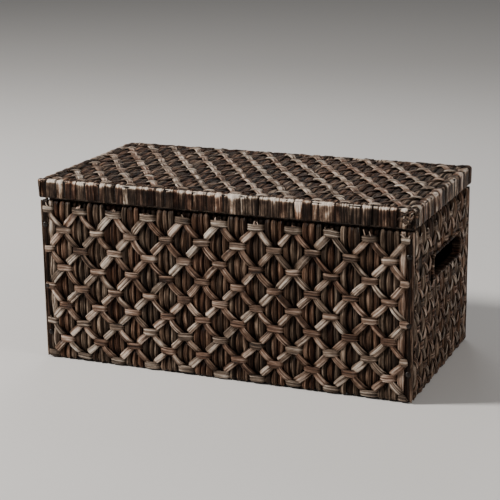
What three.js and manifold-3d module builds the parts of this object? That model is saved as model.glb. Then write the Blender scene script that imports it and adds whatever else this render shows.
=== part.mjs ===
// Woven storage trunk: a wooden frame clad in woven panels, with a hinged lid, a wrapped
// hand-hole in each end and a pair of slotted stays that hold the lid open.
// Units are millimetres. +Z is up, the front faces -Y, and the trunk stands on z = 0.
import * as THREE from 'three';
import { mergeVertices } from 'three/addons/utils/BufferGeometryUtils.js';
import Module from 'manifold-3d';

const wasm = await Module();
wasm.setup();

// ---------------------------------------------------------------- driving sizes
const LENGTH = 815; // lid, left to right
const DEPTH = 430; // lid, front to back
const HEIGHT = 390; // floor to lid top
const LID_HEIGHT = 40; // rim of the lid
const LID_GAP = 5; // dark line between the lid and the woven walls
const LID_OVERHANG = 2.5; // how far the lid stands past each wall
const FIT = 0.3; // clearance between two pieces that touch
const ROUND_STEPS = 20; // facets round a pin or screw
const CORNER_STEPS = 4; // facets round a quarter of a rounded corner or edge
const CUT_MARGIN = 1; // how far a cutting block reaches past what it cuts

// ---------------------------------------------------------------- body
const WALL_LENGTH = LENGTH - 2 * LID_OVERHANG;
const WALL_DEPTH = DEPTH - 2 * LID_OVERHANG;
const WALL_THICKNESS = 16;
const WALL_CORNER_RADIUS = 8;
const WALL_BOTTOM = 3;
const FRAME_TOP = HEIGHT - LID_HEIGHT; // the lid frame rests here
const WALL_TOP = FRAME_TOP - LID_GAP;
const STOCK = 20; // thickness of the posts and rails
const TOP_RAIL_HEIGHT = 28;
const BOTTOM_RAIL_HEIGHT = 20;
const BASE_THICKNESS = 5;
const GLIDE_HEIGHT = 6;
const GLIDE_RADIUS = 9.5;

// Outside of the wooden frame, measured from the trunk's middle.
const FRAME_X = WALL_LENGTH / 2 - WALL_THICKNESS - FIT;
const FRAME_Y = WALL_DEPTH / 2 - WALL_THICKNESS - FIT;
// Inside of the wooden frame.
const CLEAR_X = FRAME_X - STOCK;
const CLEAR_Y = FRAME_Y - STOCK;
const FRAME_BOTTOM = GLIDE_HEIGHT + FIT;
const BASE_BOTTOM = FRAME_BOTTOM + BOTTOM_RAIL_HEIGHT + FIT;

// ---------------------------------------------------------------- hand-holes
const HAND_HOLE_LENGTH = 200; // clear opening inside the wrapped rim
const HAND_HOLE_HEIGHT = 45;
const HAND_HOLE_RADIUS = 14;
const HAND_HOLE_CENTRE_Y = 20;
const HAND_HOLE_CENTRE_Z = 243;
const HAND_WRAP = 5; // thickness of the wrapped rim
const HAND_WRAP_PROUD = 2.5; // how far the rim stands out of the wall
const HAND_WRAP_EDGE = 1.5; // rounding of the rim's edges

// ---------------------------------------------------------------- lid
const LID_BOTTOM = FRAME_TOP + FIT;
const LID_CORNER_RADIUS = 10;
const LID_EDGE_RADIUS = 6;
const RIM_WALL = 4; // wrap over the outside of the lid frame
const RIM_ROLL = 18; // how far the wrap rolls in over the top
const LID_WEAVE_THICKNESS = 9.7;
const LID_BOARD_THICKNESS = 4;
const LID_RAIL_WIDTH = 30;
const LID_RAIL_X = LENGTH / 2 - RIM_WALL - FIT; // outside of the lid frame
const LID_RAIL_Y = DEPTH / 2 - RIM_WALL - FIT;
const LID_CLEAR_X = LID_RAIL_X - LID_RAIL_WIDTH; // inside of the lid frame
const LID_CLEAR_Y = LID_RAIL_Y - LID_RAIL_WIDTH;
const LID_WEAVE_BOTTOM = HEIGHT - LID_WEAVE_THICKNESS;
const LID_BOARD_TOP = LID_WEAVE_BOTTOM - FIT;
const LID_BOARD_BOTTOM = LID_BOARD_TOP - LID_BOARD_THICKNESS;
const LID_RAIL_TOP = LID_BOARD_BOTTOM - FIT;

// ---------------------------------------------------------------- hinges
const HINGE_SPREAD = 250; // hinge centre from the trunk's middle
const HINGE_LENGTH = 60;
const KNUCKLES = 5;
const BARREL_RADIUS = 3.2;
const BARREL_CLEARANCE = 1.3; // from the lid's back face to the barrel
const PIN_RADIUS = 1.6;
const RUNNING_FIT = 0.05; // radial, for a pin or screw that something turns on
const LEAF_THICKNESS = 1.5;
const LEAF_REACH = 41; // pin axis to the leaf's free edge
const LEAF_SPACE = 0.8; // between the closed leaves
const PIN_Y = DEPTH / 2 + BARREL_CLEARANCE + BARREL_RADIUS;
const PIN_Z = LID_BOTTOM - FIT - LEAF_THICKNESS - LEAF_SPACE / 2;
const LEAF_SCREW_SPREAD = 18;
const LEAF_SCREW_REACH = 32.5; // pin axis to the screws

const SCREW = { headRadius: 3.1, headDepth: 1.3, shankRadius: 1.5, length: 13, tip: 3 };

// ---------------------------------------------------------------- lid stays
// Pivot and guide sit at the same distance from the hinge pin, so the arm always
// turns by half the lid's angle while its slot slides along the guide.
const OPEN_ANGLE = THREE.MathUtils.degToRad(95);
const STAY_RADIUS = 80;
const PIVOT_RISE = 14; // above the hinge pin
const GUIDE_DROP = 12; // below the hinge pin
const ARM_WIDTH = 14;
const ARM_THICKNESS = 2;
const STUD_RADIUS = 2.5;
const STUD_HEAD_RADIUS = 5;
const STUD_HEAD_THICKNESS = 2;
const STUD_THREAD_RADIUS = 1.8;
const STUD_THREAD_LENGTH = 13;
const SLOT_PLAY = 0.3; // at each end of the slot
const ARM_STANDOFF = 2.5; // from the rail's inner face to the arm
const ARM_OUTER_X = CLEAR_X - ARM_STANDOFF; // face of the arm nearest the end wall

// ---------------------------------------------------------------- materials
function material(color, roughness, metalness = 0) {
  return new THREE.MeshStandardMaterial({ color, roughness, metalness });
}
const weave = () => material('#54453a', 0.72);
const rimWrap = () => material('#4a3a30', 0.68);
const stainedWood = () => material('#33261d', 0.66);
const board = () => material('#4b392b', 0.7);
const steel = () => material('#8d8a84', 0.38, 1);
const glide = () => material('#1b1a19', 0.6);

// ---------------------------------------------------------------- solids
function toManifold(geometry) {
  const bare = geometry.clone();
  bare.deleteAttribute('normal');
  bare.deleteAttribute('uv');
  const merged = mergeVertices(bare, 1e-4);
  return new wasm.Manifold(new wasm.Mesh({
    numProp: 3,
    vertProperties: new Float32Array(merged.attributes.position.array),
    triVerts: new Uint32Array(merged.index.array),
  }));
}

function toGeometry(solid) {
  const mesh = solid.getMesh();
  const geometry = new THREE.BufferGeometry();
  geometry.setAttribute('position', new THREE.BufferAttribute(mesh.vertProperties, 3));
  geometry.setIndex(new THREE.BufferAttribute(mesh.triVerts, 1));
  geometry.computeVertexNormals();
  return geometry;
}

// A block between two opposite corners.
function block(low, high) {
  const size = high.map((value, axis) => value - low[axis]);
  const middle = high.map((value, axis) => (value + low[axis]) / 2);
  return new THREE.BoxGeometry(...size).translate(...middle);
}

function blockSolid(low, high) {
  return toManifold(block(low, high));
}

// A closed outline with rounded corners, centred on (u, v).
function roundedRectangle(outline, width, height, radius, u = 0, v = 0) {
  const right = u + width / 2;
  const top = v + height / 2;
  const left = u - width / 2;
  const bottom = v - height / 2;
  outline.moveTo(right, top - radius);
  outline.absarc(right - radius, top - radius, radius, 0, Math.PI / 2);
  outline.absarc(left + radius, top - radius, radius, Math.PI / 2, Math.PI);
  outline.absarc(left + radius, bottom + radius, radius, Math.PI, 1.5 * Math.PI);
  outline.absarc(right - radius, bottom + radius, radius, 1.5 * Math.PI, 2 * Math.PI);
  return outline;
}

function extrude(shape, depth, options = {}) {
  return new THREE.ExtrudeGeometry(shape, {
    depth,
    bevelEnabled: false,
    curveSegments: CORNER_STEPS,
    ...options,
  });
}

// Turns an extrusion so its outline lies in the YZ plane and its depth runs along +X.
function alongX(geometry) {
  return geometry.rotateX(Math.PI / 2).rotateZ(Math.PI / 2);
}

// A solid of revolution about X, from [x, radius] points that start and end on the axis.
function turned(profile) {
  const points = profile.map(([x, radius]) => new THREE.Vector2(radius, x));
  return new THREE.LatheGeometry(points, ROUND_STEPS).rotateZ(-Math.PI / 2);
}

function rod(radius, from, to) {
  return turned([[from, 0], [from, radius], [to, radius], [to, 0]]);
}

function addPiece(group, name, geometry, surface, position = [0, 0, 0]) {
  const mesh = new THREE.Mesh(geometry, surface);
  mesh.name = name;
  mesh.position.set(...position);
  group.add(mesh);
  return mesh;
}

// Runs a builder for the right end (+1) and the left end (-1).
function onBothEnds(build) {
  build('right', 1);
  build('left', -1);
}

// ---------------------------------------------------------------- screws
function screwProfile(extra) {
  const { headRadius, headDepth, shankRadius, length, tip } = SCREW;
  return [
    [0, 0],
    [0, headRadius + extra],
    [headDepth, shankRadius + extra],
    [length - tip, shankRadius + extra],
    [length + extra, 0],
  ];
}

// The profile runs along +X from the head; direction +1 points the tip down, -1 up.
function hingeScrew(direction, extra = 0) {
  return turned(screwProfile(extra)).rotateY((direction * Math.PI) / 2);
}

const LEAF_SCREW_Y = PIN_Y - LEAF_SCREW_REACH;
const BODY_LEAF_TOP = PIN_Z - LEAF_SPACE / 2;
const LID_LEAF_BOTTOM = PIN_Z + LEAF_SPACE / 2;

// Head positions of a leaf's two screws, for a hinge centred on hingeX.
function leafScrewHeads(hingeX, faceZ) {
  return [-1, 1].map((side) => [hingeX + side * LEAF_SCREW_SPREAD, LEAF_SCREW_Y, faceZ]);
}

function withoutScrews(solid, heads, direction) {
  const pockets = heads.map((head) => toManifold(hingeScrew(direction, FIT).translate(...head)));
  return pockets.reduce((rest, pocket) => rest.subtract(pocket), solid);
}

const bodyScrewHeads = [-1, 1].flatMap((end) => leafScrewHeads(end * HINGE_SPREAD, BODY_LEAF_TOP));
const lidScrewHeads = [-1, 1].flatMap((end) => leafScrewHeads(end * HINGE_SPREAD, LID_LEAF_BOTTOM));
const DOWN = 1;
const UP = -1;

// ---------------------------------------------------------------- body frame
function addCornerPosts(body) {
  const middleX = FRAME_X - STOCK / 2;
  const middleY = FRAME_Y - STOCK / 2;
  const height = FRAME_TOP - FRAME_BOTTOM;
  const corners = { front: -1, back: 1 };
  for (const [face, sideY] of Object.entries(corners)) {
    onBothEnds((end, sideX) => {
      const post = new THREE.BoxGeometry(STOCK, STOCK, height);
      const place = [sideX * middleX, sideY * middleY, FRAME_BOTTOM + height / 2];
      addPiece(body, `corner_post_${face}_${end}`, post, stainedWood(), place);
      const foot = rod(GLIDE_RADIUS, 0, GLIDE_HEIGHT).rotateY(-Math.PI / 2);
      const footPlace = [sideX * middleX, sideY * middleY, 0];
      addPiece(body, `foot_glide_${face}_${end}`, foot, glide(), footPlace);
    });
  }
}

// A rail between two posts along the front or back.
function longRail(sideY, bottom, top) {
  const halfLength = CLEAR_X - FIT;
  const [near, far] = [CLEAR_Y, FRAME_Y].map((y) => sideY * y).sort((a, b) => a - b);
  return blockSolid([-halfLength, near, bottom], [halfLength, far, top]);
}

// A rail between two posts along one end.
function endRail(sideX, bottom, top) {
  const halfLength = CLEAR_Y - FIT;
  const [near, far] = [CLEAR_X, FRAME_X].map((x) => sideX * x).sort((a, b) => a - b);
  return blockSolid([near, -halfLength, bottom], [far, halfLength, top]);
}

// Recess in the back rail that the closed hinge leaves lie in.
function hingeRecess(hingeX) {
  const half = HINGE_LENGTH / 2 + FIT;
  const floor = BODY_LEAF_TOP - LEAF_THICKNESS - FIT;
  return blockSolid(
    [hingeX - half, CLEAR_Y - FIT, floor],
    [hingeX + half, FRAME_Y + FIT, FRAME_TOP + FIT],
  );
}

function backTopRail() {
  let rail = longRail(1, FRAME_TOP - TOP_RAIL_HEIGHT, FRAME_TOP);
  for (const end of [-1, 1]) rail = rail.subtract(hingeRecess(end * HINGE_SPREAD));
  return withoutScrews(rail, bodyScrewHeads, DOWN);
}

function endTopRail(sideX) {
  const rail = endRail(sideX, FRAME_TOP - TOP_RAIL_HEIGHT, FRAME_TOP);
  return rail.subtract(threadHole(sideX, CLEAR_X, guideY, guideZ));
}

function addBodyRails(body) {
  const topBottom = FRAME_TOP - TOP_RAIL_HEIGHT;
  const bottomTop = FRAME_BOTTOM + BOTTOM_RAIL_HEIGHT;
  const frontTop = toGeometry(longRail(-1, topBottom, FRAME_TOP));
  const frontBottom = toGeometry(longRail(-1, FRAME_BOTTOM, bottomTop));
  const backBottom = toGeometry(longRail(1, FRAME_BOTTOM, bottomTop));
  addPiece(body, 'rail_front_top', frontTop, stainedWood());
  addPiece(body, 'rail_front_bottom', frontBottom, stainedWood());
  addPiece(body, 'rail_back_top', toGeometry(backTopRail()), stainedWood());
  addPiece(body, 'rail_back_bottom', backBottom, stainedWood());
  onBothEnds((end, sideX) => {
    const lower = toGeometry(endRail(sideX, FRAME_BOTTOM, bottomTop));
    addPiece(body, `rail_${end}_top`, toGeometry(endTopRail(sideX)), stainedWood());
    addPiece(body, `rail_${end}_bottom`, lower, stainedWood());
  });
}

// The base board lies on the bottom rails and is notched round the corner posts.
function addBasePanel(body) {
  const notch = STOCK + FIT;
  const outline = new THREE.Shape();
  outline.moveTo(FRAME_X - notch, -FRAME_Y);
  outline.lineTo(FRAME_X - notch, -FRAME_Y + notch);
  outline.lineTo(FRAME_X, -FRAME_Y + notch);
  outline.lineTo(FRAME_X, FRAME_Y - notch);
  outline.lineTo(FRAME_X - notch, FRAME_Y - notch);
  outline.lineTo(FRAME_X - notch, FRAME_Y);
  outline.lineTo(notch - FRAME_X, FRAME_Y);
  outline.lineTo(notch - FRAME_X, FRAME_Y - notch);
  outline.lineTo(-FRAME_X, FRAME_Y - notch);
  outline.lineTo(-FRAME_X, notch - FRAME_Y);
  outline.lineTo(notch - FRAME_X, notch - FRAME_Y);
  outline.lineTo(notch - FRAME_X, -FRAME_Y);
  addPiece(body, 'base_panel', extrude(outline, BASE_THICKNESS), board(), [0, 0, BASE_BOTTOM]);
}

// ---------------------------------------------------------------- woven walls
// Plan of the front or back wall, rounded at its two outer corners.
function longWallPlan(sideY) {
  const half = WALL_LENGTH / 2;
  const outer = WALL_DEPTH / 2;
  const radius = WALL_CORNER_RADIUS;
  const arcX = half - radius;
  const arcY = sideY * (outer - radius);
  const quarter = (sideY * Math.PI) / 2;
  const clockwise = sideY < 0;
  const plan = new THREE.Shape();
  plan.moveTo(-half, sideY * (outer - WALL_THICKNESS));
  plan.lineTo(half, sideY * (outer - WALL_THICKNESS));
  plan.absarc(arcX, arcY, radius, 0, quarter, clockwise);
  plan.absarc(-arcX, arcY, radius, quarter, 2 * quarter, clockwise);
  return plan;
}

function endWall() {
  const halfDepth = WALL_DEPTH / 2 - WALL_THICKNESS - FIT;
  const outline = new THREE.Shape();
  outline.moveTo(-halfDepth, WALL_BOTTOM);
  outline.lineTo(halfDepth, WALL_BOTTOM);
  outline.lineTo(halfDepth, WALL_TOP);
  outline.lineTo(-halfDepth, WALL_TOP);
  outline.closePath();
  outline.holes.push(handHoleOutline(new THREE.Path(), HAND_WRAP + FIT));
  return alongX(extrude(outline, WALL_THICKNESS));
}

// The hand-hole's outline, grown by a margin all round.
function handHoleOutline(outline, margin) {
  return roundedRectangle(
    outline,
    HAND_HOLE_LENGTH + 2 * margin,
    HAND_HOLE_HEIGHT + 2 * margin,
    HAND_HOLE_RADIUS + margin,
    HAND_HOLE_CENTRE_Y,
    HAND_HOLE_CENTRE_Z,
  );
}

function addWovenWalls(body) {
  const height = WALL_TOP - WALL_BOTTOM;
  const walls = { front: -1, back: 1 };
  for (const [face, sideY] of Object.entries(walls)) {
    const wall = extrude(longWallPlan(sideY), height);
    addPiece(body, `${face}_weave`, wall, weave(), [0, 0, WALL_BOTTOM]);
  }
  const outerX = WALL_LENGTH / 2;
  addPiece(body, 'right_weave', endWall(), weave(), [outerX - WALL_THICKNESS, 0, 0]);
  addPiece(body, 'left_weave', endWall(), weave(), [-outerX, 0, 0]);
}

// The hand-hole's rim, a rounded ring that lines the hole from face to face.
function handHoleRim() {
  const ring = handHoleOutline(new THREE.Shape(), HAND_WRAP - HAND_WRAP_EDGE);
  ring.holes.push(handHoleOutline(new THREE.Path(), HAND_WRAP_EDGE));
  const straight = WALL_THICKNESS + HAND_WRAP_PROUD - 2 * HAND_WRAP_EDGE;
  return alongX(extrude(ring, straight, {
    bevelEnabled: true,
    bevelSize: HAND_WRAP_EDGE,
    bevelThickness: HAND_WRAP_EDGE,
    bevelSegments: CORNER_STEPS / 2,
  }));
}

function addHandHoleRims(body) {
  const innerX = WALL_LENGTH / 2 - WALL_THICKNESS + HAND_WRAP_EDGE;
  const outerX = WALL_LENGTH / 2 + HAND_WRAP_PROUD - HAND_WRAP_EDGE;
  addPiece(body, 'hand_hole_wrap_right', handHoleRim(), rimWrap(), [innerX, 0, 0]);
  addPiece(body, 'hand_hole_wrap_left', handHoleRim(), rimWrap(), [-outerX, 0, 0]);
}

// ---------------------------------------------------------------- lid
function addLidFrame(lid) {
  const bottom = LID_BOTTOM;
  const top = LID_RAIL_TOP;
  const front = blockSolid([-LID_RAIL_X, -LID_RAIL_Y, bottom], [LID_RAIL_X, -LID_CLEAR_Y, top]);
  const back = blockSolid([-LID_RAIL_X, LID_CLEAR_Y, bottom], [LID_RAIL_X, LID_RAIL_Y, top]);
  const bored = withoutScrews(back, lidScrewHeads, UP);
  addPiece(lid, 'lid_rail_front', toGeometry(front), stainedWood());
  addPiece(lid, 'lid_rail_back', toGeometry(bored), stainedWood());
  onBothEnds((end, sideX) => {
    const [low, high] = [LID_CLEAR_X, LID_RAIL_X].map((x) => sideX * x).sort((a, b) => a - b);
    const halfLength = LID_CLEAR_Y - FIT;
    const rail = blockSolid([low, -halfLength, bottom], [high, halfLength, top]);
    const drilled = rail.subtract(threadHole(sideX, LID_CLEAR_X, pivotY, pivotZ));
    addPiece(lid, `lid_rail_${end}`, toGeometry(drilled), stainedWood());
  });
  const halfWidth = LID_RAIL_WIDTH / 2;
  const halfBrace = LID_CLEAR_Y - FIT;
  const brace = block([-halfWidth, -halfBrace, bottom], [halfWidth, halfBrace, top]);
  addPiece(lid, 'lid_brace', brace, stainedWood());
}

function addLidPanels(lid) {
  const boardLow = [-LID_RAIL_X, -LID_RAIL_Y, LID_BOARD_BOTTOM];
  addPiece(lid, 'lid_board', block(boardLow, [LID_RAIL_X, LID_RAIL_Y, LID_BOARD_TOP]), board());
  const halfX = LENGTH / 2 - RIM_ROLL - FIT;
  const halfY = DEPTH / 2 - RIM_ROLL - FIT;
  const panel = block([-halfX, -halfY, LID_WEAVE_BOTTOM], [halfX, halfY, HEIGHT]);
  addPiece(lid, 'lid_weave', panel, weave());
}

// The lid's outer shape: rounded corners and a rounded top edge.
function lidEnvelope() {
  const radius = LID_EDGE_RADIUS;
  const plan = roundedRectangle(
    new THREE.Shape(),
    LENGTH - 2 * radius,
    DEPTH - 2 * radius,
    LID_CORNER_RADIUS - radius,
  );
  const full = extrude(plan, LID_HEIGHT, {
    bevelEnabled: true,
    bevelSize: radius,
    bevelThickness: radius,
    bevelSegments: CORNER_STEPS,
  }).translate(0, 0, HEIGHT - LID_HEIGHT - radius);
  const high = HEIGHT + CUT_MARGIN;
  const above = blockSolid([-LENGTH, -DEPTH, LID_BOTTOM], [LENGTH, DEPTH, high]);
  return toManifold(full).intersect(above);
}

// The wrapped rim as one ring: an outer skin that rolls in over the top edge.
function lidRimRing() {
  const pocketTop = LID_WEAVE_BOTTOM;
  const pocketX = LENGTH / 2 - RIM_WALL;
  const pocketY = DEPTH / 2 - RIM_WALL;
  const windowX = LENGTH / 2 - RIM_ROLL;
  const windowY = DEPTH / 2 - RIM_ROLL;
  const low = LID_BOTTOM - CUT_MARGIN;
  const high = HEIGHT + CUT_MARGIN;
  const pocket = blockSolid([-pocketX, -pocketY, low], [pocketX, pocketY, pocketTop]);
  const opening = blockSolid([-windowX, -windowY, low], [windowX, windowY, high]);
  return lidEnvelope().subtract(pocket).subtract(opening);
}

function addLidRim(lid) {
  const ring = lidRimRing();
  const edgeY = DEPTH / 2 - RIM_ROLL;
  const low = LID_BOTTOM - CUT_MARGIN;
  const high = HEIGHT + CUT_MARGIN;
  const front = ring.intersect(blockSolid([-LENGTH, -DEPTH, low], [LENGTH, -edgeY, high]));
  const back = ring.intersect(blockSolid([-LENGTH, edgeY, low], [LENGTH, DEPTH, high]));
  addPiece(lid, 'lid_rim_front', toGeometry(front), rimWrap());
  addPiece(lid, 'lid_rim_back', toGeometry(back), rimWrap());
  onBothEnds((end, sideX) => {
    const [from, to] = [0, sideX * LENGTH].sort((a, b) => a - b);
    const halfLength = edgeY - FIT;
    const piece = ring.intersect(blockSolid([from, -halfLength, low], [to, halfLength, high]));
    addPiece(lid, `lid_rim_${end}`, toGeometry(piece), rimWrap());
  });
}

// ---------------------------------------------------------------- hinges
const KNUCKLE_PITCH = HINGE_LENGTH / KNUCKLES;

// Left and right end of a knuckle, measured from the hinge's middle.
function knuckleSpan(index) {
  const start = -HINGE_LENGTH / 2 + index * KNUCKLE_PITCH;
  return [start + FIT / 2, start + KNUCKLE_PITCH - FIT / 2];
}

// One leaf about the pin axis: a flat plate at heights low..high, and its own knuckles.
function hingeLeaf(low, high, firstKnuckle) {
  const half = HINGE_LENGTH / 2 - FIT / 2;
  const plateEdge = -(BARREL_RADIUS + FIT);
  let leaf = blockSolid([-half, -LEAF_REACH, low], [half, plateEdge, high]);
  for (let index = firstKnuckle; index < KNUCKLES; index += 2) {
    const [from, to] = knuckleSpan(index);
    const tongue = blockSolid([from, plateEdge - CUT_MARGIN, low], [to, -PIN_RADIUS, high]);
    leaf = leaf.add(tongue).add(toManifold(rod(BARREL_RADIUS, from, to)));
  }
  return leaf.subtract(toManifold(rod(PIN_RADIUS + RUNNING_FIT, -HINGE_LENGTH, HINGE_LENGTH)));
}

function addHinge(body, lid, end, sideX) {
  const hingeX = sideX * HINGE_SPREAD;
  const place = [hingeX, PIN_Y, PIN_Z];
  const near = LEAF_SPACE / 2;
  const far = near + LEAF_THICKNESS;
  const bodyHeads = leafScrewHeads(hingeX, BODY_LEAF_TOP);
  const lidHeads = leafScrewHeads(hingeX, LID_LEAF_BOTTOM);
  const bodyLeaf = withoutScrews(hingeLeaf(-far, -near, 0).translate(place), bodyHeads, DOWN);
  const lidLeaf = withoutScrews(hingeLeaf(near, far, 1).translate(place), lidHeads, UP);
  addPiece(body, `hinge_body_leaf_${end}`, toGeometry(bodyLeaf), steel());
  addPiece(lid, `hinge_lid_leaf_${end}`, toGeometry(lidLeaf), steel());
  const pin = rod(PIN_RADIUS, -HINGE_LENGTH / 2, HINGE_LENGTH / 2);
  addPiece(body, `hinge_pin_${end}`, pin, steel(), place);
  ['outer', 'inner'].forEach((label, index) => {
    const pick = sideX > 0 ? 1 - index : index;
    addPiece(body, `hinge_body_screw_${end}_${label}`, hingeScrew(DOWN), steel(), bodyHeads[pick]);
    addPiece(lid, `hinge_lid_screw_${end}_${label}`, hingeScrew(UP), steel(), lidHeads[pick]);
  });
}

// ---------------------------------------------------------------- lid stays
const pivotY = PIN_Y - Math.sqrt(STAY_RADIUS ** 2 - PIVOT_RISE ** 2);
const pivotZ = PIN_Z + PIVOT_RISE;
const guideY = PIN_Y - Math.sqrt(STAY_RADIUS ** 2 - GUIDE_DROP ** 2);
const guideZ = PIN_Z - GUIDE_DROP;
const closedSpan = Math.hypot(pivotY - guideY, pivotZ - guideZ);
const closedAngle = 2 * Math.asin(closedSpan / (2 * STAY_RADIUS));
const openSpan = 2 * STAY_RADIUS * Math.sin((closedAngle + OPEN_ANGLE) / 2);

// Hole for a shoulder screw's thread, bored into a rail from its inner face.
function threadHole(sideX, faceX, y, z) {
  const depth = STUD_THREAD_LENGTH + FIT;
  const bore = rod(STUD_THREAD_RADIUS + FIT, -FIT, depth);
  if (sideX < 0) bore.rotateZ(Math.PI);
  return toManifold(bore.translate(sideX * faceX, y, z));
}

// A shoulder screw along +X: head, shank the arm runs on, collar, thread in the rail.
function shoulderScrew(faceX) {
  const armInner = ARM_OUTER_X - ARM_THICKNESS;
  return turned([
    [armInner - FIT - STUD_HEAD_THICKNESS, 0],
    [armInner - FIT - STUD_HEAD_THICKNESS, STUD_HEAD_RADIUS],
    [armInner - FIT, STUD_HEAD_RADIUS],
    [armInner - FIT, STUD_RADIUS],
    [ARM_OUTER_X + FIT, STUD_RADIUS],
    [ARM_OUTER_X + FIT, STUD_HEAD_RADIUS],
    [faceX - FIT, STUD_HEAD_RADIUS],
    [faceX - FIT, STUD_THREAD_RADIUS],
    [faceX + STUD_THREAD_LENGTH, STUD_THREAD_RADIUS],
    [faceX + STUD_THREAD_LENGTH, 0],
  ]);
}

// A flat arm hanging from its pivot, with a slot for the guide screw.
function stayArm() {
  const clear = STUD_RADIUS + RUNNING_FIT;
  const radius = ARM_WIDTH / 2;
  const arm = new THREE.Shape();
  arm.absarc(0, 0, radius, 0, Math.PI);
  arm.absarc(0, -openSpan, radius, Math.PI, 2 * Math.PI);
  arm.closePath();
  const slot = new THREE.Path();
  slot.absarc(0, SLOT_PLAY - closedSpan, clear, 0, Math.PI);
  slot.absarc(0, -openSpan - SLOT_PLAY, clear, Math.PI, 2 * Math.PI);
  slot.closePath();
  const eye = new THREE.Path();
  eye.absarc(0, 0, clear, 0, 2 * Math.PI);
  arm.holes.push(slot, eye);
  return alongX(extrude(arm, ARM_THICKNESS, { curveSegments: ROUND_STEPS / 2 }));
}

function addStay(body, lid, stays, end, sideX) {
  const lean = Math.atan2(guideY - pivotY, pivotZ - guideZ);
  const armX = sideX > 0 ? ARM_OUTER_X - ARM_THICKNESS : -ARM_OUTER_X;
  const arm = addPiece(stays, `stay_arm_${end}`, stayArm(), steel(), [armX, pivotY, pivotZ]);
  arm.rotation.x = lean;
  const guidePlace = [0, guideY, guideZ];
  const pivotPlace = [0, pivotY, pivotZ];
  const guideShape = shoulderScrew(CLEAR_X);
  const pivotShape = shoulderScrew(LID_CLEAR_X);
  const guide = addPiece(body, `stay_guide_screw_${end}`, guideShape, steel(), guidePlace);
  const pivot = addPiece(lid, `stay_pivot_screw_${end}`, pivotShape, steel(), pivotPlace);
  const turn = sideX > 0 ? 0 : Math.PI;
  guide.rotation.z = turn;
  pivot.rotation.z = turn;
}

// ---------------------------------------------------------------- assembly
function buildTrunk() {
  const trunk = new THREE.Group();
  const body = new THREE.Group();
  const lid = new THREE.Group();
  const stays = new THREE.Group();
  trunk.add(body, lid, stays);
  addCornerPosts(body);
  addBodyRails(body);
  addBasePanel(body);
  addWovenWalls(body);
  addHandHoleRims(body);
  addLidFrame(lid);
  addLidPanels(lid);
  addLidRim(lid);
  onBothEnds((end, sideX) => {
    addHinge(body, lid, end, sideX);
    addStay(body, lid, stays, end, sideX);
  });
  // The hinge barrels stand out at the back, so the whole is shifted to centre its box.
  trunk.position.y = (DEPTH / 2 - (PIN_Y + BARREL_RADIUS)) / 2;
  return trunk;
}

export default buildTrunk();
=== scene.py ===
import math
from typing import NamedTuple

import bpy
import numpy as np
from mathutils import Matrix, Vector


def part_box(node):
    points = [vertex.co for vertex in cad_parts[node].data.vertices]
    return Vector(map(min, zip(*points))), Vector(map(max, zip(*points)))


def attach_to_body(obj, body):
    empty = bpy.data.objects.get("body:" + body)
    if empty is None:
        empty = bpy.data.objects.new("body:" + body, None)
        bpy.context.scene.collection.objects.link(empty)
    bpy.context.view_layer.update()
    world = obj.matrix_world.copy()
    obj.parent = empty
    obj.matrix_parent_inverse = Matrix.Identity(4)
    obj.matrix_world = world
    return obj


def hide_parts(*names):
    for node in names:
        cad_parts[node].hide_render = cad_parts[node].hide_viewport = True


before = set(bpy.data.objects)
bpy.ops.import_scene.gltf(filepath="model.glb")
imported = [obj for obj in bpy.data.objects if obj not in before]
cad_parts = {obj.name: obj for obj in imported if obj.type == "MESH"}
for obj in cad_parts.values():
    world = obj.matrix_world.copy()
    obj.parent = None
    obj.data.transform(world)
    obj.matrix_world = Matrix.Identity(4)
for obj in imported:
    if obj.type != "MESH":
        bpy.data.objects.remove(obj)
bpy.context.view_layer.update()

# The looks of the woven storage trunk, in metres. Every strand, strip, leaf wrap and nail is a
# swept or turned mesh laid where the soft CAD slabs are. The wooden frame, the boards and the
# steel parts stay as CAD and get their own materials.
MM = 0.001

# ---------- driving sizes
CORNER_RADIUS = 8 * MM  # the upright corners of the woven walls
CORNER_BEAD = 4.5 * MM  # width kept free at each upright edge for the corner's bead
END_GAP = 0.4 * MM  # from a strand's end to the edge of its face
LEAF_THICKNESS = 0.8 * MM  # half the thickness of a flat strip
CLASP_THICKNESS = 0.9 * MM  # half the thickness of a clasp
CLASP_HALF_HEIGHT = 6.2 * MM  # half way between being over a group and behind one
CLASP_SWELL = 1.3 * MM  # how much more it is over a group, and less behind one
CLASP_SPACING = 58 * MM  # along a slanting strip
NAIL_RADIUS = 6.0 * MM
NAIL_DOME = 3.4 * MM
NAIL_INSET = 11 * MM  # from the trunk's corners
NAIL_HEIGHTS = (55 * MM, 156 * MM, 290 * MM)
RIM_CORNER_RADIUS = 10 * MM
RIM_LEAVES = (12 * MM, 28 * MM)  # the narrowest and the widest leaf round the lid's rim
HAND_RIM_RADIUS = 2.5 * MM  # half the thickness of a hand-hole's rim
HAND_HOLE_CORNER = 16 * MM
HAND_HOLE_LEAVES = (9 * MM, 18 * MM)
# Each face and trim draws its random numbers from its own seed.
WALL_SEED, END_SEED, LID_SEED, RIM_SEED, HAND_HOLE_SEED, NAIL_SEED = 10, 30, 50, 70, 80, 90


class Lattice(NamedTuple):
    """How one kind of face is divided up."""

    groups: int  # groups of upright strands across the face
    strands: int  # upright strands in each group
    edge: float  # width of the first and last group, or 0 for the same as the others
    relief: float  # how deep the strands dip below the face's surface
    first_row: float  # height of the lowest row of clasps
    row_gaps: np.ndarray  # from each row of clasps to the next one up


WALL_LATTICE = Lattice(21, 3, 31 * MM, 10 * MM, 8.0 * MM, np.linspace(35.8, 43.2, 8) * MM)
END_LATTICE = Lattice(15, 2, 26 * MM, 10 * MM, 6.0 * MM, np.full(7, 44.6 * MM))
LID_LATTICE = Lattice(27, 2, 0, 7 * MM, 3.2 * MM, np.full(9, 43.0 * MM))


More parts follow.
